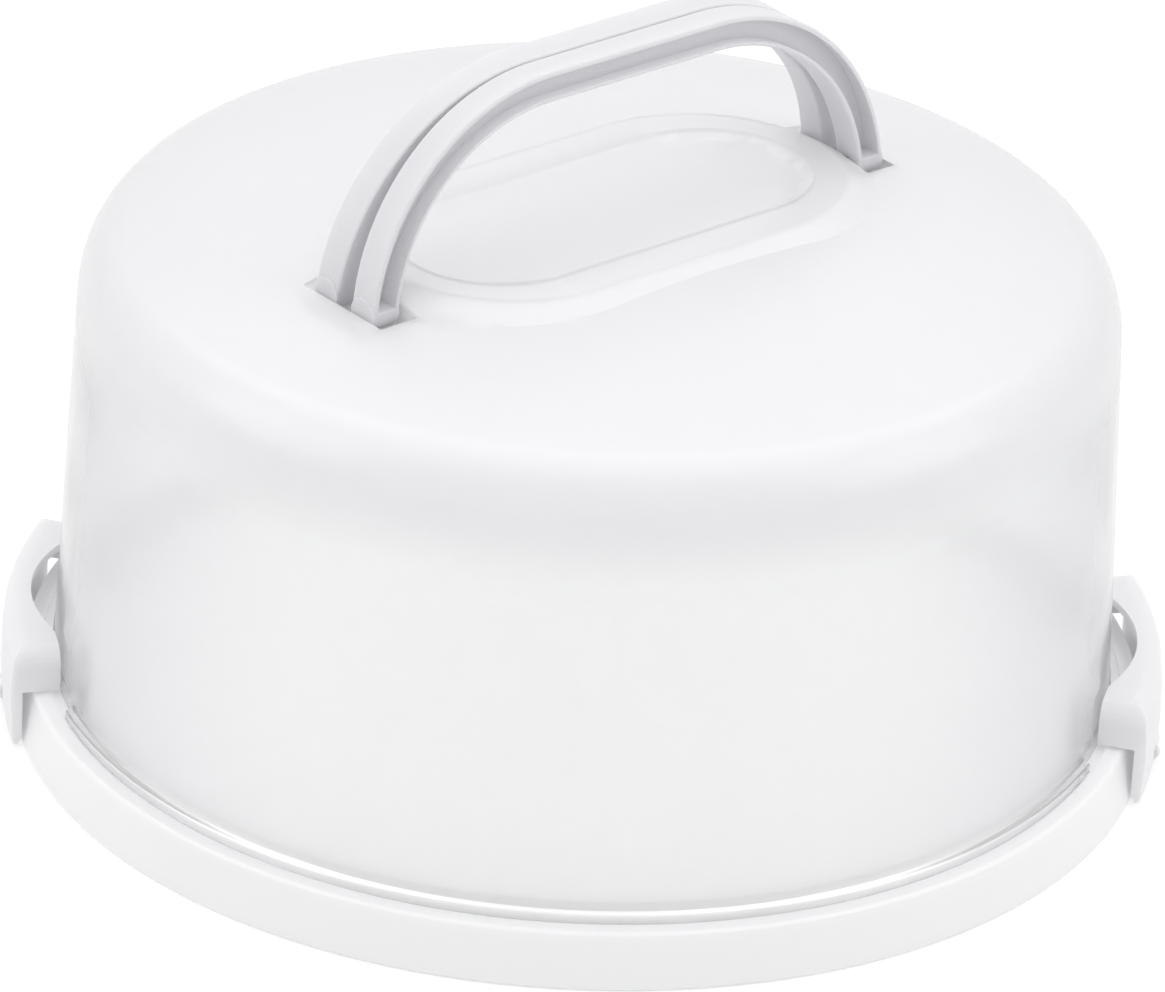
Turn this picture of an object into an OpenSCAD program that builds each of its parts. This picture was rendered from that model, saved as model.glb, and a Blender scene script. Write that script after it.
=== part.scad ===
// Round cake carrier: a flat base tray, a clear lift-off dome, two side latches that
// swing on the base, and a pair of folding handle loops on the dome.
// Origin: centre of the base on the surface that it stands on. +Z is up, latches on -X and +X.

/* [Base tray] */
// Outer radius of the rim where it stands on the table
base_foot_r = 155; // [140:0.5:175]
// How much the rim narrows towards its upper edge
rim_taper = 2.6; // [1:0.2:4]
// Height of the rim's upper face
base_rim_z = 16; // [14:0.5:20]
// Wall thickness of the moulded tray
base_wall = 2.4; // [1.8:0.1:3]
// Depth of the serving floor below the rim's upper face
floor_drop = 2.8; // [2:0.2:4]
// Depth of the groove that seats the dome's flange
seat_depth = 1; // [0.6:0.1:1.6]
// Height of the ring that centres the dome, above the seat
ring_h = 3.6; // [2:0.2:5]
// Number of ribs under the serving floor
rib_count = 12; // [6:1:24]
// Thickness of the ribs under the serving floor
rib_t = 2; // [1.2:0.1:3]

/* [Dome] */
// Width of the ledge between the rim's upper edge and the dome wall
ledge_w = 8.1; // [7:0.1:12]
// Wall thickness of the dome
dome_wall = 2; // [1.4:0.1:3]
// Draft of the dome wall in degrees
dome_draft = 2.5; // [1:0.1:4]
// Height of the straight wall, from the rim's upper face to the shoulder
wall_h = 106.8; // [80:0.2:130]
// Width of the rounded shoulder
shoulder_w = 14.9; // [12:0.1:24]
// Height of the rounded shoulder
shoulder_h = 20.4; // [12:0.1:26]
// Slope of the crown where it leaves the shoulder, in degrees
crown_slope = 7.5; // [4:0.1:10]
// Width of the flange round the dome's foot
flange_w = 2.7; // [2:0.1:4]
// Thickness of the flange
flange_t = 3.2; // [2:0.1:5]

/* [Plateau on the dome] */
// Angle of the handle axis from +X, in degrees
handle_turn = 41.4; // [0:0.1:90]
// Distance from the feet of the handles to the plateau's upper edge
plateau_gap = 6.2; // [4:0.1:9]
// Radius of the plateau's round ends at its upper edge
plateau_r = 39.5; // [34:0.5:44]
// Height of the plateau over the crown's centre
plateau_h = 1.5; // [1:0.1:4]
// Slope of the plateau's side from the level, in degrees
plateau_slope = 32; // [25:1:45]
// Rounding of the plateau's upper edge
plateau_edge_r = 4; // [1:0.5:6]
// Distance from the plateau's upper edge to the dish at the ends
dish_end_gap = 12.3; // [10:0.1:20]
// Distance from the plateau's upper edge to the dish at the sides
dish_side_gap = 16; // [12:0.5:20]
// Depth of the dish
dish_h = 1.9; // [1:0.1:3]
// Radius of the moulding gate mark
gate_r = 1.6; // [1:0.1:3]
// Height of the moulding gate mark
gate_h = 0.4; // [0.2:0.1:0.8]

/* [Handles] */
// Height of the grip's upper face over the pivots
handle_h = 54.6; // [45:0.2:60]
// Half the length of the grip's straight stretch
grip_c = 28.7; // [20:0.1:36]
// Outer radius of the loop's corners
loop_r = 60.4; // [56:0.1:64]
// Thickness of the strap, from the loop's outside to its inside
strap_t = 8.8; // [7:0.1:11]
// Width of the strap
strap_w = 9.2; // [8:0.1:10]
// Rounding of the strap's outer edges
strap_edge_r = 0.9; // [0.4:0.1:1.5]
// Width of the lip on each side of the strap's channel
lip_t = 1.4; // [1:0.1:2.6]
// Depth of the strap's channel
channel_h = 6; // [3:0.1:6.5]
// Half the gap between the two loops' feet
feet_gap = 3; // [2:0.1:5]
// Half the gap between the two grips
grip_gap = 0.3; // [0.2:0.1:1]
// How far each loop folds, in degrees
fold_angle = 60; // [30:1:60]
// Radius of the loops' pivot pins
pivot_pin_r = 1; // [0.8:0.1:1.3]
// Gap round the feet in their slots
foot_gap = 0.6; // [0.4:0.1:1]

/* [Latches] */
// Half the angle that a latch covers
latch_half = 15.3; // [12:0.1:18]
// How far a latch stands out from the rim's foot
latch_depth = 3.8; // [3.4:0.1:6]
// Height of a latch's upper face over the rim
latch_h = 13.6; // [11:0.2:18]
// Wall thickness of a latch
latch_wall = 2.6; // [2:0.1:3.2]
// Gap between a latch and the rim's foot
latch_gap = 0.4; // [0.3:0.1:0.8]
// Gap between a latch's tips and the dome
catch_gap = 0.5; // [0.3:0.1:0.8]
// Radius of the finger opening
finger_r = 47; // [42:1:56]
// Thickness of the latch's top behind the finger opening
finger_wall = 7.6; // [6.5:0.1:9]
// Rounding of the latch's upper outer edge
latch_edge_r = 5.4; // [3:0.1:7]
// Rounding of the latch's upper corners
latch_corner_r = 6; // [3:0.5:9]
// Radius of the hinge barrels
barrel_r = 2.5; // [2.2:0.1:2.8]
// Radius of the hinge pins
latch_pin_r = 1; // [0.8:0.1:1.3]
// Length of the whole hinge
hinge_len = 33; // [28:1:36]
// Width of the outer hinge lugs
lug_w = 5.5; // [4:0.5:7]
// Side gap between a lug and a knuckle
knuckle_gap = 0.3; // [0.2:0.1:0.6]

/* [Hidden] */

$fn = 96;
cut = 1;            // how far a cutting shape runs past the face that it cuts
run_fit = 0.08;     // radial clearance of a moving pin
pin_fit = 0.02;     // radial clearance of a held pin

// points of an arc from angle a0 to angle a1
function arc(cx, cy, r, a0, a1, n = 8) =
    [for (i = [0 : n]) let (a = a0 + (a1 - a0) * i / n) [cx + r * cos(a), cy + r * sin(a)]];

// ---- base tray ----
base_rim_r = base_foot_r - rim_taper;       // outer radius of the rim at its upper edge
dome_r = base_rim_r - ledge_w;              // outer radius of the dome wall just above its flange
flange_r = dome_r + flange_w;
floor_z = base_rim_z - floor_drop;
rim_edge_r = 1.2;                           // rounding of the rim's upper edge
foot_edge_r = 1.3;                          // rounding of the rim's foot
seat_z = base_rim_z - seat_depth;
seat_side_gap = 0.6;                        // gap round the flange in its groove
seat_gap = 0.1;                             // gap under the flange
seat_out_r = flange_r + seat_side_gap;
dome_in_r = dome_r - dome_wall;
ring_gap = 2.4;                             // gap between the centring ring and the dome
ring_out_r = dome_in_r - ring_gap;
ring_in_r = ring_out_r - base_wall;
ring_z = seat_z + ring_h;
ring_edge_r = 0.8;                          // rounding of the ring's top, and bevel at its foot inside
floor_bottom_z = floor_z - base_wall;
rib_z = 3.4;                                // lower edge of the radial ribs
rib_in_r = base_foot_r / 7;                 // radius of the hub under the floor
stand_in_r = base_foot_r * 0.72;            // radius of the inner standing ring

// ---- dome ----
flange_z = seat_z + seat_gap;
flange_top_z = flange_z + flange_t;
wall_z = flange_top_z + 2.4;                // height at which the flange's fillet ends
flange_edge_r = 0.8;                        // rounding of the flange's upper edge
flange_bevel = 0.5;                         // bevel of its lower edge
shoulder_z = base_rim_z + wall_h;
shoulder_wall_r = dome_r - (shoulder_z - wall_z) * tan(dome_draft);
shoulder_a0 = atan(shoulder_h / shoulder_w * tan(dome_draft));
shoulder_a1 = atan(shoulder_h / shoulder_w / tan(crown_slope));
shoulder_c_r = shoulder_wall_r - shoulder_w * cos(shoulder_a0);
shoulder_c_z = shoulder_z - shoulder_h * sin(shoulder_a0);
crown_r = (shoulder_c_r + shoulder_w * cos(shoulder_a1)) / sin(crown_slope);
crown_c_z = shoulder_c_z + shoulder_h * sin(shoulder_a1) - crown_r * cos(crown_slope);
crown_z = crown_c_z + crown_r;
// height of the crown's outer face at a distance from the axis
function crown_at(r) = crown_c_z + sqrt(crown_r * crown_r - r * r);
plateau_z = crown_z + plateau_h;
dish_z = plateau_z - dish_h;
dish_slope = 28;                            // slope of the dish's side from the level
catch_r = dome_r + 0.3;                     // the flange is cut back to this behind a latch
catch_half = latch_half + 5.4;              // half the angle of that cut

// ---- handles ----
pivot_n = feet_gap + strap_w / 2;           // half the distance between the two loops' pivots
loop_in_r = loop_r - strap_t;
loop_drop = loop_r - handle_h;              // depth of the corners' centres below the pivots
foot_u = grip_c + sqrt(pow(loop_r - strap_t / 2, 2) - loop_drop * loop_drop);
foot_in_u = grip_c + sqrt(loop_in_r * loop_in_r - loop_drop * loop_drop);
foot_out_u = grip_c + sqrt(loop_r * loop_r - loop_drop * loop_drop);
pivot_z = crown_at(foot_u);
handle_top_z = pivot_z + handle_h;
loop_c_z = pivot_z - loop_drop;
lean = asin((feet_gap - grip_gap) / handle_h);
pocket_in_u = foot_in_u - foot_gap - 0.6;   // a little wider, because the folded legs curve inwards
pocket_out_u = foot_out_u + foot_gap;
pocket_n = pivot_n + strap_w / 2 + foot_gap;
pocket_floor_z = pivot_z - strap_w / 2 - 1.2 * foot_gap;
pocket_foot_r = 2.5;                        // bevel along the bottom of a slot
ramp = 90 - fold_angle + lean;              // slope of the folded leg's lower face
ramp_z = pivot_z + (strap_w / 2 + foot_gap) * tan(ramp) - (strap_w / 2 + foot_gap) / cos(ramp);
ramp_over = crown_z + cut - ramp_z;         // the run-out is drawn up to this height over its foot
pivot_pin_in_u = pocket_in_u - dome_wall;
pivot_pin_out_u = foot_u + strap_t / 4;     // the pins end inside the feet
pin_end_gap = 0.3;                          // gap behind a pin in its blind bore
plateau_c = foot_in_u - plateau_gap - plateau_r;
dish_c = plateau_c + dish_side_gap - dish_end_gap;
dish_r = plateau_r - dish_side_gap;

// ---- latches ----
latch_r = base_foot_r + latch_depth;        // largest outer radius of a latch
latch_top_z = base_rim_z + latch_h;
hinge_x = latch_r - barrel_r;               // distance of the hinge axis from the middle
latch_foot_z = 0.9;                         // lower edge of the panel, and of the hinge barrels
hinge_z = barrel_r + latch_foot_z;
latch_in_r = base_foot_r + latch_gap;
catch_tip_r = catch_r + catch_gap;
latch_floor_z = base_rim_z + 0.8;           // lower edge of the end walls over the rim
finger_c_x = latch_r - finger_wall - finger_r;
tip_r = 0.3 * finger_r;                               // rounding where the finger opening meets a tip
tip_c_x = (pow(catch_tip_r + tip_r, 2) - pow(finger_r + tip_r, 2) + pow(finger_c_x, 2)) / (2 * finger_c_x);
tip_c_y = sqrt(pow(catch_tip_r + tip_r, 2) - pow(tip_c_x, 2));
finger_a = atan2(tip_c_y, tip_c_x - finger_c_x);    // half the angle of the finger opening's arc
tip_a = atan2(tip_c_y, tip_c_x);
mid_lug_w = 6;                              // width of the lug between the two knuckles
knuckle_w = (hinge_len - 2 * lug_w - mid_lug_w) / 2;
end_wall_a = latch_wall / latch_r * 180 / PI;         // angle that an end wall covers

module base_tray() {
    color("#f4f5f5")
    difference() {
        union() {
            rotate_extrude($fn = 180) tray_section();
            intersection() {
                for (i = [0 : rib_count - 1])
                    rotate([0, 0, (i + 0.5) * 360 / rib_count])
                        translate([rib_in_r, -rib_t / 2, rib_z])
                            cube([base_rim_r - base_wall - rib_in_r, rib_t, floor_z - rib_z - 1]);
                cylinder(r = base_rim_r - base_wall, h = base_rim_z);
            }
            for (side = [0, 1])
                mirror([side, 0, 0]) hinge_block();
        }
        for (side = [0, 1])
            mirror([side, 0, 0]) hinge_cuts();
    }
}

// half section of the tray: rim skirt, ledge, flange groove, centring ring and floor
module tray_section() {
    polygon(concat(
        [[0, floor_bottom_z], [rib_in_r, floor_bottom_z],
         [rib_in_r, rib_z], [rib_in_r + rib_t, rib_z], [rib_in_r + rib_t, floor_bottom_z],
         [stand_in_r, floor_bottom_z], [stand_in_r, 0], [stand_in_r + rib_t, 0],
         [stand_in_r + rib_t, floor_bottom_z],
         [base_rim_r - base_wall, floor_bottom_z],
         [base_foot_r - base_wall, 0]],
        arc(base_foot_r - foot_edge_r, foot_edge_r, foot_edge_r, -90, 0, 5),
        arc(base_rim_r - rim_edge_r, base_rim_z - rim_edge_r, rim_edge_r, 0, 90, 5),
        [[seat_out_r, base_rim_z], [seat_out_r, seat_z], [ring_out_r, seat_z]],
        arc(ring_out_r - ring_edge_r, ring_z - ring_edge_r, ring_edge_r, 0, 90, 4),
        arc(ring_in_r + ring_edge_r, ring_z - ring_edge_r, ring_edge_r, 90, 180, 4),
        [[ring_in_r, floor_z + ring_edge_r], [ring_in_r - ring_edge_r, floor_z], [0, floor_z]]));
}

// lugs of one latch hinge, and the wall behind them
module hinge_block() {
    block_d = 5;
    lap = 1;        // how far the block runs into the rim, and past the lugs at its ends
    translate([base_rim_r - base_wall - block_d + lap, -hinge_len / 2 - lap, 0])
        cube([block_d, hinge_len + 2 * lap, hinge_z + 2 * barrel_r]);
    for (y = [-hinge_len / 2, -mid_lug_w / 2, hinge_len / 2 - lug_w])
        lug(y, y == -mid_lug_w / 2 ? mid_lug_w : lug_w);
}

module lug(y, w) {
    translate([hinge_x, y, hinge_z]) rotate([-90, 0, 0]) cylinder(r = barrel_r, h = w);
    translate([base_rim_r - base_wall, y, hinge_z - barrel_r])
        cube([hinge_x - base_rim_r + base_wall, w, 1.6 * barrel_r]);
}

// room for the latch knuckles, and the pin's bore
module hinge_cuts() {
    for (y = [lug_w - hinge_len / 2, mid_lug_w / 2])
        translate([hinge_x, y, hinge_z]) rotate([-90, 0, 0])
            cylinder(r = barrel_r + latch_gap, h = knuckle_w);
    translate([hinge_x, -hinge_len / 2 - cut, hinge_z]) rotate([-90, 0, 0])
        cylinder(r = latch_pin_r + pin_fit, h = hinge_len + 2 * cut);
}

module dome_cover() {
    color("#eef1f3", 0.45)
    difference() {
        rotate([0, 0, handle_turn]) dome_form(0);
        rotate([0, 0, handle_turn]) dome_form(dome_wall);
        for (side = [0, 180]) rotate([0, 0, side]) flange_cut();
        for (side = [0, 180])
            rotate([0, 0, handle_turn + side])
                for (n = [-pivot_n, pivot_n])
                    translate([pivot_pin_in_u - cut, n, pivot_z]) rotate([0, 90, 0])
                        cylinder(r = pivot_pin_r + pin_fit, h = dome_wall + 2 * cut);
    }
}

// the dome as a solid body, made smaller by inset on every side, handle axis along X
module dome_form(inset) {
    difference() {
        union() {
            rotate_extrude($fn = 180) dome_section(inset);
            stadium(plateau_c) plateau_section(inset);
            translate([0, 0, dish_z - cut - inset]) cylinder(r = gate_r, h = gate_h + cut);
        }
        stadium(dish_c) dish_section(inset);
        for (side = [0, 180]) rotate([0, 0, side]) pocket(inset);
    }
}

module dome_section(inset) {
    polygon(concat(
        inset > 0 ? [[0, flange_z - cut], [dome_r - inset, flange_z - cut]] : flange_outline(),
        [[dome_r - inset, wall_z]],
        [for (i = [0 : 12]) shoulder_point(shoulder_a0 + (shoulder_a1 - shoulder_a0) * i / 12, inset)],
        arc(0, crown_c_z, crown_r - inset, 90 - crown_slope, 90, 12)));
}

// point of the shoulder's oval at angle a, moved inwards by inset
function shoulder_point(a, inset) =
    let (x = cos(a) / shoulder_w, z = sin(a) / shoulder_h, n = sqrt(x * x + z * z))
    [shoulder_c_r + shoulder_w * cos(a) - inset * x / n, shoulder_c_z + shoulder_h * sin(a) - inset * z / n];

// outline of the flange round the foot, from the axis outwards and up
function flange_outline() = concat(
    [[0, flange_z], [flange_r - flange_bevel, flange_z], [flange_r, flange_z + flange_bevel]],
    arc(flange_r - flange_edge_r, flange_top_z - flange_edge_r, flange_edge_r, 0, 90, 4),
    [[dome_r + 1, flange_top_z + 0.3]]);

// cuts the flange back behind the latch on +X
module flange_cut() {
    rotate([0, 0, -catch_half])
        rotate_extrude(angle = 2 * catch_half, $fn = 180)
            translate([catch_r, flange_z - cut])
                square([flange_r - catch_r + cut, flange_t + 3 * cut]);
}

// a solid with two round ends, its half section drawn from the middle line outwards
module stadium(c) {
    for (side = [0, 180])
        rotate([0, 0, side]) {
            translate([c, 0, 0]) rotate([0, 0, -90]) rotate_extrude(angle = 180, $fn = 120) children();
            translate([c, 0, 0]) rotate([90, 0, -90]) linear_extrude(2 * c) children();
        }
}

module plateau_section(inset) {
    drop = 14;      // how far the plateau's side runs down inside the crown
    k = plateau_edge_r * tan(plateau_slope / 2);
    top_r = plateau_r - inset * tan(plateau_slope / 2);
    top_z = plateau_z - inset;
    polygon(concat(
        [[0, top_z - drop], [top_r + drop / tan(plateau_slope), top_z - drop]],
        arc(top_r - k, top_z - plateau_edge_r, plateau_edge_r, 90 - plateau_slope, 90, 6),
        [[0, top_z]]));
}

module dish_section(inset) {
    low_r = dish_r + inset * tan(dish_slope / 2);
    low_z = dish_z - inset;
    over = 6;       // how far the cutter rises over the dish
    polygon([[0, low_z], [low_r, low_z],
        [low_r + over / tan(dish_slope), low_z + over], [0, low_z + over]]);
}

// slot for one pair of feet, with a short run-out on each side for the folded legs
module pocket(inset) {
    low_z = pocket_floor_z - inset;
    end_n = pocket_n + inset;
    bevel = pocket_foot_r + inset * tan(22.5);
    foot_z = ramp_z - inset / cos(ramp) + inset * tan(ramp);
    run_n = end_n + ramp_over / tan(ramp);
    top_z = foot_z + ramp_over + plateau_h + 3 * cut;
    half = [[end_n - bevel, low_z], [end_n, low_z + bevel], [end_n, foot_z], [run_n, foot_z + ramp_over],
        [run_n, top_z]];
    translate([pocket_in_u - inset, 0, 0])
        rotate([90, 0, 90])
            linear_extrude(pocket_out_u - pocket_in_u + 2 * inset)
                polygon(concat(half, [for (i = [4 : -1 : 0]) [-half[i][0], half[i][1]]]));
}

module front_handle() {
    color("#e9ebec") rotate([0, 0, handle_turn]) loop();
}

module rear_handle() {
    color("#e9ebec") rotate([0, 0, handle_turn + 180]) loop();
}

// one handle loop on the -Y side of the handle axis, leaning towards the middle
module loop() {
    difference() {
        translate([0, -pivot_n, pivot_z])
            rotate([-lean, 0, 0])
                translate([0, pivot_n, -pivot_z]) strap();
        channel();
        for (side = [0, 1])
            mirror([side, 0, 0])
                translate([foot_in_u - strap_t, -pivot_n, pivot_z]) rotate([0, 90, 0])
                    cylinder(r = pivot_pin_r + run_fit,
                        h = pivot_pin_out_u + pin_end_gap - foot_in_u + strap_t);
    }
}

// the bare strap, upright about the pivots
module strap() {
    intersection() {
        loop_sweep() strap_section();
        translate([0, -pivot_n, (handle_top_z + pivot_z) / 2])
            cube([4 * loop_r, 2 * strap_w, handle_top_z - pivot_z + 0.01], center = true);
    }
    for (side = [-1, 1])
        translate([side * foot_u, -pivot_n, pivot_z]) rotate([0, 90, 0])
            cylinder(r = strap_w / 2, h = strap_t, center = true);
}

// carries a section, drawn as [distance from the corner's centre, across], round the loop
module loop_sweep() {
    for (side = [0, 1])
        mirror([side, 0, 0])
            translate([grip_c, 0, loop_c_z]) rotate([90, 0, 0])
                rotate_extrude(angle = 90, $fn = 160) children();
    translate([-grip_c, 0, loop_c_z]) rotate([90, 0, 90])
        linear_extrude(2 * grip_c) rotate([0, 0, 90]) children();
}

module strap_section() {
    e = strap_edge_r;
    n0 = pivot_n - strap_w / 2;
    n1 = pivot_n + strap_w / 2;
    polygon(concat(
        arc(loop_r - e, n1 - e, e, 0, 90, 3), arc(loop_in_r + e, n1 - e, e, 90, 180, 3),
        arc(loop_in_r + e, n0 + e, e, 180, 270, 3), arc(loop_r - e, n0 + e, e, 270, 360, 3)));
}

// channel in the outer side of the strap, down to just above the pivot pins
module channel() {
    pin_cover = 0.6;    // thickness left over the pins
    low_z = pivot_z + pivot_pin_r + pin_cover;
    web_n = pivot_n + strap_w / 2 - channel_h;
    intersection() {
        loop_sweep()
            translate([loop_in_r + lip_t, web_n]) square([strap_t - 2 * lip_t, 2 * strap_w]);
        translate([-2 * loop_r, -web_n - 2 * strap_w, low_z])
            cube([4 * loop_r, 2 * strap_w, handle_top_z - low_z]);
    }
}

module left_latch() {
    color("#f4f5f5") mirror([1, 0, 0]) latch();
}

module right_latch() {
    color("#f4f5f5") latch();
}

// one latch on the +X side: curved panel, top with a finger opening, end walls and knuckles
module latch() {
    difference() {
        union() {
            latch_sector(latch_half) latch_section();
            for (y = [lug_w - hinge_len / 2, mid_lug_w / 2]) knuckle(y);
        }
        latch_sector(latch_half - end_wall_a) latch_hollow();
        finger_opening();
        for (side = [0, 1])
            mirror([0, side, 0]) corner_cut();
        for (y = [-hinge_len / 2, -mid_lug_w / 2, hinge_len / 2 - lug_w])
            lug_room(y, y == -mid_lug_w / 2 ? mid_lug_w : lug_w);
        translate([hinge_x, -hinge_len, hinge_z]) rotate([-90, 0, 0])
            cylinder(r = latch_pin_r + run_fit, h = 2 * hinge_len);
    }
}

// turns a section about the middle of the base, from -half to half degrees
module latch_sector(half) {
    rotate([0, 0, -half]) rotate_extrude(angle = 2 * half, $fn = 180) children();
}

// panel outside the rim, with the whole block over the rim that the hollow leaves as walls
module latch_section() {
    foot_r = latch_depth * 0.4;
    polygon(concat(
        [[latch_in_r + 0.8 * foot_r, latch_foot_z]],
        arc(latch_in_r + 0.8 * foot_r, latch_foot_z + foot_r, foot_r, -80, -15, 3),
        [[latch_r - 0.4, latch_foot_z + latch_h * 0.45], [latch_r, latch_foot_z + latch_h * 0.9],
         [latch_r - 0.2, latch_top_z - latch_edge_r - latch_h * 0.3]],
        arc(latch_r - 0.6 - latch_edge_r, latch_top_z - latch_edge_r, latch_edge_r, 14, 90, 7),
        [[catch_tip_r, latch_top_z - 0.6], [catch_tip_r, latch_floor_z],
         [latch_in_r, latch_floor_z], [latch_in_r, hinge_z]]));
}

module latch_hollow() {
    out_r = latch_in_r - 0.3;
    top_z = latch_top_z - latch_wall;
    polygon([[catch_tip_r - 3, latch_floor_z - cut], [out_r, latch_floor_z - cut],
        [out_r, top_z - 1.6], [out_r - 1.6, top_z], [catch_tip_r - 3, top_z]]);
}

// crescent between the panel and the dome, rounded over where it meets each tip
module finger_opening() {
    translate([0, 0, latch_floor_z + 0.2])
        linear_extrude(latch_top_z) polygon(concat(
            [for (i = [0 : 40]) let (a = finger_a * (i / 20 - 1))
                [finger_c_x + finger_r * cos(a), finger_r * sin(a)]],
            tip_points(1),
            [[catch_tip_r - 8, tip_c_y - tip_r], [catch_tip_r - 8, tip_r - tip_c_y]],
            [for (i = [6 : -1 : 0]) tip_points(-1)[i]]));
}

// rounding between the finger opening and one tip, stopped just short of the tip's inner face
function tip_points(side) = [for (i = [1 : 7])
    let (a = 180 + finger_a + (tip_a - finger_a - 4) * i / 7)
    [tip_c_x + tip_r * cos(a), side * (tip_c_y + tip_r * sin(a))]];

// cutter that rounds the upper corner at the latch's end on +Y
module corner_cut() {
    past = 8 * cut;     // the cut leaves the round at a slight angle, to run out of the face
    depth = latch_r - catch_r + past;
    r = latch_corner_r;
    rotate([0, 0, latch_half])
        translate([latch_r - depth + cut, -r, latch_top_z - r])
            rotate([90, 0, 90])
                linear_extrude(depth)
                    polygon(concat([[r + cut, -past]], arc(0, 0, r, 3, 87, 6),
                        [[-past, r + cut], [r + cut, r + cut]]));
}

module knuckle(y) {
    w = knuckle_w - 2 * knuckle_gap;
    translate([hinge_x, y + knuckle_gap, hinge_z]) rotate([-90, 0, 0]) cylinder(r = barrel_r, h = w);
    translate([hinge_x - 0.6, y + knuckle_gap, hinge_z])
        cube([latch_in_r + latch_wall - hinge_x, w, 2 * barrel_r]);
}

// room for one lug of the tray as the latch swings
module lug_room(y, w) {
    r = barrel_r + latch_gap;
    translate([hinge_x, y - knuckle_gap, hinge_z]) rotate([-90, 0, 0])
        cylinder(r = r, h = w + 2 * knuckle_gap);
    translate([hinge_x - 2 * r, y - knuckle_gap, 0]) cube([4 * r, w + 2 * knuckle_gap, hinge_z]);
}

module latch_pin() {
    translate([hinge_x, -hinge_len / 2, hinge_z]) rotate([-90, 0, 0])
        cylinder(r = latch_pin_r, h = hinge_len);
}

module left_latch_pin() {
    color("#b9bdc0") mirror([1, 0, 0]) latch_pin();
}

module right_latch_pin() {
    color("#b9bdc0") latch_pin();
}

// pivot pin of one foot: n is -1 for the front loop and 1 for the rear one
module pivot_pin(side, n) {
    color("#b9bdc0")
    rotate([0, 0, handle_turn])
        translate([side > 0 ? pivot_pin_in_u : -pivot_pin_out_u, n * pivot_n, pivot_z])
            rotate([0, 90, 0]) cylinder(r = pivot_pin_r, h = pivot_pin_out_u - pivot_pin_in_u);
}

module front_handle_left_pin() { pivot_pin(-1, -1); }
module front_handle_right_pin() { pivot_pin(1, -1); }
module rear_handle_left_pin() { pivot_pin(-1, 1); }
module rear_handle_right_pin() { pivot_pin(1, 1); }

base_tray();
dome_cover();
front_handle();
rear_handle();
left_latch();
right_latch();
left_latch_pin();
right_latch_pin();
front_handle_left_pin();
front_handle_right_pin();
rear_handle_left_pin();
rear_handle_right_pin();
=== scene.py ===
"""Round cake carrier on a pale table: white base tray and latches, clear dome, two handle loops."""
import math

import bmesh
import bpy
from mathutils import Matrix, Vector


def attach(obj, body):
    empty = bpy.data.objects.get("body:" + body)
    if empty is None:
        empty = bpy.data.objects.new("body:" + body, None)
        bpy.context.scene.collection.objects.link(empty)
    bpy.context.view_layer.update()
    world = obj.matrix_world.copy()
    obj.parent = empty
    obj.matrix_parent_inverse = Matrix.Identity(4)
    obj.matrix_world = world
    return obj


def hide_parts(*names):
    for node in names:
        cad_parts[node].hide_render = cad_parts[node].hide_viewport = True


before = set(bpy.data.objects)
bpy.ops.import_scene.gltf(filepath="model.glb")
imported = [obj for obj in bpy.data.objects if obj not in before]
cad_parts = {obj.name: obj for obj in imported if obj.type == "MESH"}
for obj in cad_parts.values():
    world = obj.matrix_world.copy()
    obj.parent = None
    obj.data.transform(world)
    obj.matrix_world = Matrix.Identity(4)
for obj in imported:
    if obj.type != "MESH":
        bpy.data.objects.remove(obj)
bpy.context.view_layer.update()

MM = 0.001
WHITE = (1, 1, 1, 1)
BLACK = (0, 0, 0, 1)

# ---- the mouldings' meshes ----
SAME_CORNER = 0.002 * MM  # corners nearer than this are one corner
CREASE = math.radians(28)  # an edge that bends more than this stays sharp

# ---- the plastics ----
PLASTIC_IOR = 1.49  # polypropylene
SHINE_SPREAD = 0.03  # how far the white parts' roughness wanders up and down
CLEAR_UP_TO = 106 * MM  # the dome is clear below this height
ETCHED_FROM = 128 * MM  # and etched above this one
WALL_ROUGH, CROWN_ROUGH = 0.12, 0.26  # past 0.27 the denoiser draws a thin line round the dome
WALL_CLEAR, CROWN_CLEAR = 0.62, 0.28  # share of the surface that lets sight through, the rest is milky
EDGE_SHADE_FROM, EDGE_SHADE_TO = 0.2, 0.72  # painted shade greys the wall's colour between these, from 0 face on to 1 edge on
WALL_ABSORBS = 0.8  # per metre of plastic


def colour(code):
    """sRGB hex to linear RGBA."""
    channels = [int(code[i:i + 2], 16) / 255 for i in (1, 3, 5)]
    return tuple(c / 12.92 if c <= 0.04045 else ((c + 0.055) / 1.055) ** 2.4 for c in channels) + (1.0,)


def new_material(name):
    """An empty node material."""
    mat = bpy.data.materials.new(name)
    mat.use_nodes = True
    mat.node_tree.nodes.clear()
    return mat


def node(tree, kind, settings=None, values=None, links=None):
    """Adds a node, with its settings, its input values and the sockets linked to its inputs."""
    made = tree.nodes.new(kind)
    for key, value in (settings or {}).items():
        setattr(made, key, value)
    for key, value in (values or {}).items():
        made.inputs[key].default_value = value
    for key, socket in (links or {}).items():
        tree.links.new(socket, made.inputs[key])
    return made


def grain_bump(tree, coords, size, depth, strength):
    """Fine moulded texture: a bump from noise whose grains are size metres across."""
    grain = node(tree, "ShaderNodeTexNoise", values={"Scale": 1 / size},
                 links={"Vector": coords.outputs["Object"]})
    return node(tree, "ShaderNodeBump", values={"Distance": depth, "Strength": strength},
                links={"Height": grain.outputs["Fac"]})


def let_lamps_in(tree, skin, passed):
    """The eye gets the skin. Lamps shine through it onto what it hides, dimmed to the colour passed."""
    ray = node(tree, "ShaderNodeLightPath")
    opening = node(tree, "ShaderNodeBsdfTransparent", values={"Color": passed})
    mixed = node(tree, "ShaderNodeMixShader",
                 links={"Fac": ray.outputs["Is Shadow Ray"], 1: skin.outputs["BSDF"],
                        2: opening.outputs["BSDF"]})
    return mixed.outputs["Shader"]


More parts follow.
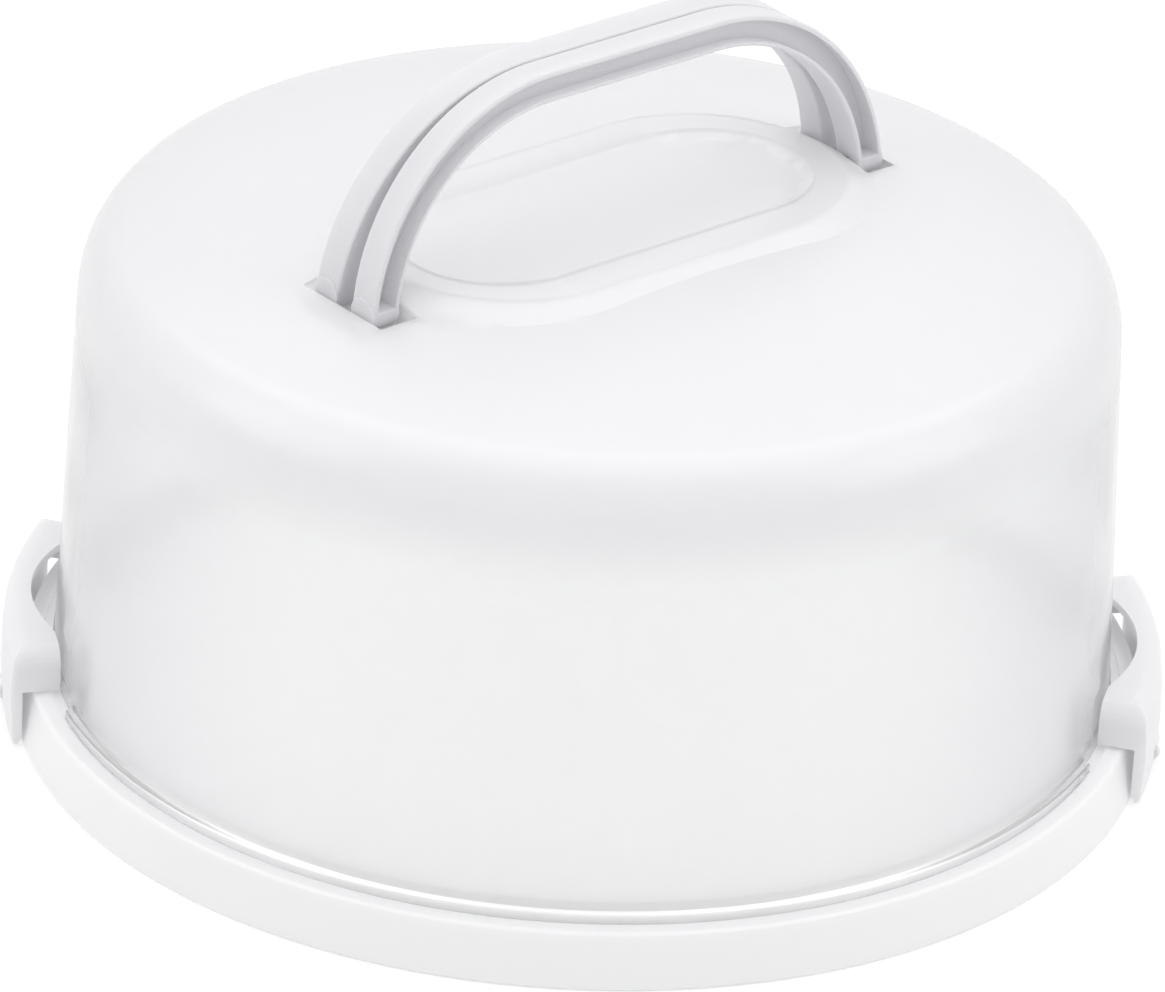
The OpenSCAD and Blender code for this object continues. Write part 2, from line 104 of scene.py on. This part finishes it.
def moulded_polypropylene(name, code, roughness, glow):
    """White injection-moulded polypropylene, which looks soft and satin, with a very slight orange peel.

    glow is the share of a lamp's light that passes a face. It is more than thin plastic really lets in,
    and stands in for an even light that leaves hardly a shadow behind the parts."""
    mat = new_material(name)
    tree = mat.node_tree
    coords = node(tree, "ShaderNodeTexCoord")
    bump = grain_bump(tree, coords, 0.9 * MM, 0.02 * MM, 0.35)
    # Broad patches a little shinier and duller than each other
    cloud = node(tree, "ShaderNodeTexNoise", values={"Scale": 1 / (35 * MM), "Detail": 1.0},
                 links={"Vector": coords.outputs["Object"]})
    shine = node(tree, "ShaderNodeMapRange",
                 values={"To Min": roughness - SHINE_SPREAD, "To Max": roughness + SHINE_SPREAD},
                 links={"Value": cloud.outputs["Fac"]})
    skin = node(tree, "ShaderNodeBsdfPrincipled",
                values={"Base Color": colour(code), "IOR": PLASTIC_IOR, "Subsurface Weight": 0.6,
                        "Subsurface Radius": (1.0, 1.0, 1.0), "Subsurface Scale": 3 * MM},
                links={"Roughness": shine.outputs["Result"], "Normal": bump.outputs["Normal"]})
    surface = let_lamps_in(tree, skin, (glow, glow, glow, 1))
    node(tree, "ShaderNodeOutputMaterial", links={"Surface": surface})
    return mat


def natural_polypropylene(name):
    """Unpigmented polypropylene: polished and nearly clear on the wall, etched and milky on the crown.

    Lamps reach what the cover holds, as they do through a thin milky wall."""
    mat = new_material(name)
    tree = mat.node_tree
    coords = node(tree, "ShaderNodeTexCoord")
    split = node(tree, "ShaderNodeSeparateXYZ", links={"Vector": coords.outputs["Object"]})
    # 0 on the wall, 1 on the crown, with a soft change across the foot of the shoulder
    frost = node(tree, "ShaderNodeMapRange", {"interpolation_type": "SMOOTHSTEP"},
                 {"From Min": CLEAR_UP_TO, "From Max": ETCHED_FROM},
                 {"Value": split.outputs["Z"]})
    shine = node(tree, "ShaderNodeMapRange", values={"To Min": WALL_ROUGH, "To Max": CROWN_ROUGH},
                 links={"Value": frost.outputs["Result"]})
    # The milky part lies on the outside of each face, so light that is in the plastic gets out again
    outer_clear = node(tree, "ShaderNodeMapRange", values={"To Min": WALL_CLEAR, "To Max": CROWN_CLEAR},
                       links={"Value": frost.outputs["Result"]})
    side = node(tree, "ShaderNodeNewGeometry")
    clear = node(tree, "ShaderNodeMath", {"operation": "MAXIMUM"},
                 links={0: outer_clear.outputs["Result"], 1: side.outputs["Backfacing"]})
    # Painted shade: seen edge on, the wall's colour greys, standing in for the light lost where the wall is
    # crossed the long way
    lean = node(tree, "ShaderNodeLayerWeight")
    painted_edge_shade = node(tree, "ShaderNodeMapRange", {"interpolation_type": "SMOOTHSTEP"},
                    {"From Min": EDGE_SHADE_FROM, "From Max": EDGE_SHADE_TO}, {"Value": lean.outputs["Facing"]})
    wall_tint_and_edge_shade = node(tree, "ShaderNodeMix", {"data_type": "RGBA"},
                     {6: colour("#FEFEFE"), 7: colour("#E9E9EC")},
                     {0: painted_edge_shade.outputs["Result"]})
    tint = node(tree, "ShaderNodeMix", {"data_type": "RGBA"}, {7: colour("#EDEDEF")},
                {0: frost.outputs["Result"], 6: wall_tint_and_edge_shade.outputs[2]})
    bump = grain_bump(tree, coords, 1.2 * MM, 0.02 * MM, 0.2)
    skin = node(tree, "ShaderNodeBsdfPrincipled", values={"IOR": PLASTIC_IOR},
                links={"Base Color": tint.outputs[2], "Roughness": shine.outputs["Result"],
                       "Transmission Weight": clear.outputs["Value"], "Normal": bump.outputs["Normal"]})
    surface = let_lamps_in(tree, skin, colour("#FCFCFC"))
    depth = node(tree, "ShaderNodeVolumeAbsorption", values={"Color": BLACK, "Density": WALL_ABSORBS})
    node(tree, "ShaderNodeOutputMaterial", links={"Surface": surface, "Volume": depth.outputs["Volume"]})
    return mat


def drawn_steel(name):
    """Drawn stainless wire: grey metal with a soft shine, for the pins."""
    mat = new_material(name)
    tree = mat.node_tree
    coords = node(tree, "ShaderNodeTexCoord")
    bump = grain_bump(tree, coords, 0.4 * MM, 0.01 * MM, 0.3)
    skin = node(tree, "ShaderNodeBsdfPrincipled",
                values={"Base Color": colour("#B9BCC0"), "Metallic": 1.0, "Roughness": 0.32},
                links={"Normal": bump.outputs["Normal"]})
    node(tree, "ShaderNodeOutputMaterial", links={"Surface": skin.outputs["BSDF"]})
    return mat


def moulding(name, body, finish):
    """A CAD node's shape with its triangles joined and its round faces shaded smooth, which stands for it."""
    shape = bmesh.new()
    shape.from_mesh(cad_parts[name].data)
    bmesh.ops.remove_doubles(shape, verts=shape.verts, dist=SAME_CORNER)
    for face in shape.faces:
        face.smooth = True
    for edge in shape.edges:
        edge.smooth = len(edge.link_faces) == 2 and edge.calc_face_angle() < CREASE
    mesh = bpy.data.meshes.new(name + "_moulding")
    shape.to_mesh(mesh)
    shape.free()
    if "custom_normal" in mesh.attributes:
        mesh.attributes.remove(mesh.attributes["custom_normal"])
    mesh.materials.append(finish)
    piece = bpy.data.objects.new(name + "_moulding", mesh)
    bpy.context.scene.collection.objects.link(piece)
    # Small faces of a rounded edge take the broad faces' direction, so that those stay flat to the eye
    weighted = piece.modifiers.new("broad faces lead", "WEIGHTED_NORMAL")
    weighted.keep_sharp = True
    shaded = piece.evaluated_get(bpy.context.evaluated_depsgraph_get())
    finished = bpy.data.meshes.new_from_object(shaded)
    piece.modifiers.clear()
    piece.data = finished
    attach(piece, body)
    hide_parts(name)


tray_white = moulded_polypropylene("polypropylene moulded white tray", "#EFEFF0", 0.34, 0.85)
# The latches' white is darker than the tray's: painted shade for their tilted faces, which get less light
latch_white_with_painted_shade = moulded_polypropylene("polypropylene moulded white latch", "#E5E5E7", 0.36, 0.98)
handle_white = moulded_polypropylene("polypropylene moulded pale grey handle", "#DADADD", 0.38, 0.55)
dome_clear = natural_polypropylene("polypropylene natural moulded dome")
pin_steel = drawn_steel("stainless steel drawn wire")

moulding("base_tray", "base", tray_white)
moulding("dome_cover", "dome", dome_clear)
moulding("front_handle", "front_loop", handle_white)
moulding("rear_handle", "rear_loop", handle_white)
moulding("left_latch", "left_catch", latch_white_with_painted_shade)
moulding("right_latch", "right_catch", latch_white_with_painted_shade)
for name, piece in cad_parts.items():
    if name.endswith("_pin"):
        piece.data.materials.clear()
        piece.data.materials.append(pin_steel)


# ---- floor, light and camera ----
def seen_ray(tree):
    """1 on rays from the camera, a reflection or something clear, and 0 on light that falls on things."""
    ray = node(tree, "ShaderNodeLightPath")
    seen = node(tree, "ShaderNodeMath", {"operation": "MAXIMUM"},
                links={0: ray.outputs["Is Camera Ray"], 1: ray.outputs["Is Glossy Ray"]})
    return node(tree, "ShaderNodeMath", {"operation": "MAXIMUM"},
                links={0: seen.outputs["Value"], 1: ray.outputs["Is Transmission Ray"]})


def studio_floor():
    """A pale table top: white to the eye, with the carrier's soft shadow kept."""
    half = 3.0  # metres
    corners = [(-half, -half, 0), (half, -half, 0), (half, half, 0), (-half, half, 0)]
    mesh = bpy.data.meshes.new("table_top")
    mesh.from_pydata(corners, [], [(0, 1, 2, 3)])
    floor = bpy.data.objects.new("table_top", mesh)
    bpy.context.scene.collection.objects.link(floor)
    mat = new_material("white table laminate")
    tree = mat.node_tree
    lit = node(tree, "ShaderNodeBsdfDiffuse", values={"Color": colour("#F6F6F6")})
    white = node(tree, "ShaderNodeEmission", values={"Color": WHITE, "Strength": 1.12})
    # Half its own white and half the light on it, which is what keeps the shadow
    share = node(tree, "ShaderNodeMath", {"operation": "MULTIPLY"}, {1: 0.5},
                 {0: seen_ray(tree).outputs["Value"]})
    skin = node(tree, "ShaderNodeMixShader",
                links={"Fac": share.outputs["Value"], 1: lit.outputs["BSDF"], 2: white.outputs["Emission"]})
    node(tree, "ShaderNodeOutputMaterial", links={"Surface": skin.outputs["Shader"]})
    mesh.materials.append(mat)


def white_world(strength):
    """A soft surround that lights with this strength, and is pure white to the camera and in reflections."""
    world = bpy.data.worlds.new("studio surround")
    bpy.context.scene.world = world
    world.use_nodes = True
    tree = world.node_tree
    tree.nodes.clear()
    level = node(tree, "ShaderNodeMapRange", values={"To Min": strength, "To Max": 1.0},
                 links={"Value": seen_ray(tree).outputs["Value"]})
    light = node(tree, "ShaderNodeBackground", values={"Color": WHITE},
                 links={"Strength": level.outputs["Result"]})
    node(tree, "ShaderNodeOutputWorld", links={"Surface": light.outputs["Background"]})


def softbox(name, place, aim_height, side, watts):
    """A square lamp that faces the carrier's middle at aim_height. All lengths are metres."""
    lamp = bpy.data.lights.new(name, "AREA")
    lamp.shape = "SQUARE"
    lamp.size = side
    lamp.energy = watts
    holder = bpy.data.objects.new(name, lamp)
    bpy.context.scene.collection.objects.link(holder)
    holder.location = place
    ahead = Vector((0, 0, aim_height)) - Vector(place)
    holder.rotation_euler = ahead.to_track_quat("-Z", "Y").to_euler()


def photo_camera():
    """Long lens, 27 degrees above the table, rolled 3 degrees clockwise."""
    focal_px, width_px, height_px = 8112.0, 1165, 992
    centre_x, centre_y = 590.0, 501.0  # where the camera's axis meets the picture, in pixels
    sensor = 36.0  # mm, as wide as the picture
    distance, aim_z = 2200 * MM, 62.68 * MM
    lift, roll = math.radians(27.18), math.radians(2.98)
    eye = Vector((0, -distance * math.cos(lift), aim_z + distance * math.sin(lift)))
    ahead = Vector((0, math.cos(lift), -math.sin(lift)))
    right = Vector((1, 0, 0))
    up = right.cross(ahead)
    rolled_right = right * math.cos(roll) + up * math.sin(roll)
    rolled_up = up * math.cos(roll) - right * math.sin(roll)
    turn = Matrix((rolled_right, rolled_up, -ahead)).transposed()
    data = bpy.data.cameras.new("camera")
    data.sensor_width = sensor
    data.lens = sensor * focal_px / width_px
    data.shift_x = (width_px / 2 - centre_x) / width_px
    data.shift_y = (centre_y - height_px / 2) / width_px
    data.clip_start = 0.05
    data.clip_end = 50
    camera = bpy.data.objects.new("camera", data)
    camera.matrix_world = Matrix.Translation(eye) @ turn.to_4x4()
    bpy.context.scene.collection.objects.link(camera)
    bpy.context.scene.camera = camera


studio_floor()
white_world(0.72)
softbox("left softbox", (-1.5, -0.5, 1.0), 0.08, 1.2, 5.2)
softbox("right softbox", (1.5, -0.5, 1.0), 0.08, 1.2, 5.2)
softbox("top softbox", (0, 0.2, 1.8), 0.1, 2.6, 16.0)
photo_camera()
bpy.context.scene.view_settings.view_transform = "Standard"
